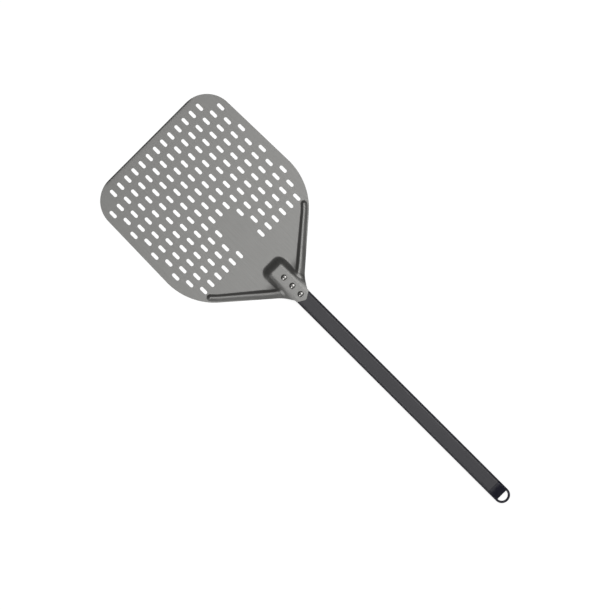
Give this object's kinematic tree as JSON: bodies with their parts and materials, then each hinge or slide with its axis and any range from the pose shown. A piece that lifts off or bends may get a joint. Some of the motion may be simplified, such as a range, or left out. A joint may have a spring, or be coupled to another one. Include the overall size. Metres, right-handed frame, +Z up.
{
  "type": "pizza peel",
  "caption": "Perforated metal pizza peel: square blade with rounded corners, pressed hood and ribs, riveted to a long flat tube handle with a hanging loop.",
  "frame": {"origin": "middle of the bounding box in plan, on the surface the peel lies on", "axes": "+Y along the peel towards the blade's front edge, +X across it, +Z up from the surface it lies on"},
  "size_m": [0.3556, 1.0476, 0.0189],
  "materials": {
    "anodised_sheet": "hard-anodised satin grey, fine grain",
    "black_tube": "satin black coat on an aluminium tube",
    "black_plastic": "moulded black plastic, fine texture",
    "rivet_steel": "bright polished",
    "mandrel_steel": "dull, broken end"
  },
  "bodies": {
    "root": {"blade": "anodised_sheet", "handle_tube": "black_tube", "end_cap": "black_plastic", "rivet_front": "rivet_steel", "rivet_middle": "rivet_steel", "rivet_rear": "rivet_steel", "rivet_mandrel_front": "mandrel_steel", "rivet_mandrel_middle": "mandrel_steel", "rivet_mandrel_rear": "mandrel_steel"}
  },
  "joints": []
}
